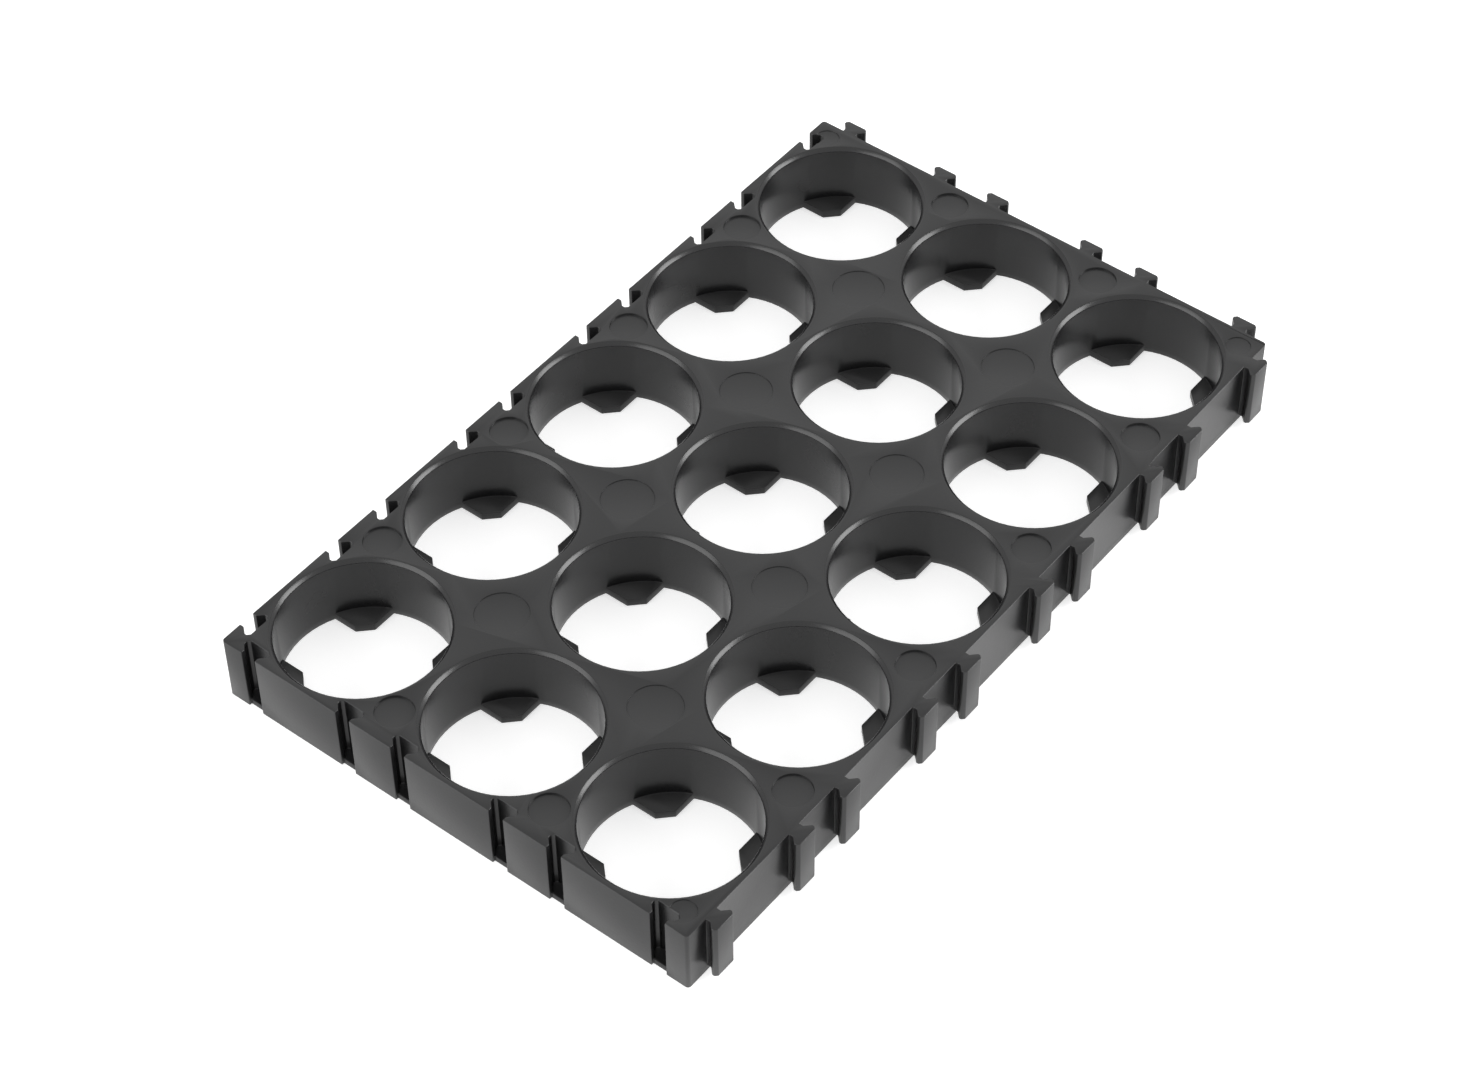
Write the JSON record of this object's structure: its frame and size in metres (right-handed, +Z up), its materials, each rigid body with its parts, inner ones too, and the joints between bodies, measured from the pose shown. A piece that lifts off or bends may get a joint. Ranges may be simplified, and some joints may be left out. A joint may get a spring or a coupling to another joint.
{
  "type": "battery cell holder plate",
  "caption": "Flat moulded plate with a grid of round bores that hold cylindrical cells upright, retaining tabs under each bore, and dovetail edges that join plates together.",
  "frame": {"origin": "under the middle of the bounding box, on the underside the plate rests on", "axes": "+X across the plate's width and +Y along its length, each towards the edge with the ribs; +Z up, the way the cells leave"},
  "size_m": [0.0624, 0.103, 0.0083],
  "materials": {
    "holder_plastic": "fine matte moulded black ABS, slightly glossier on the bore walls"
  },
  "bodies": {
    "root": {"cell_holder": "holder_plastic"}
  },
  "joints": []
}
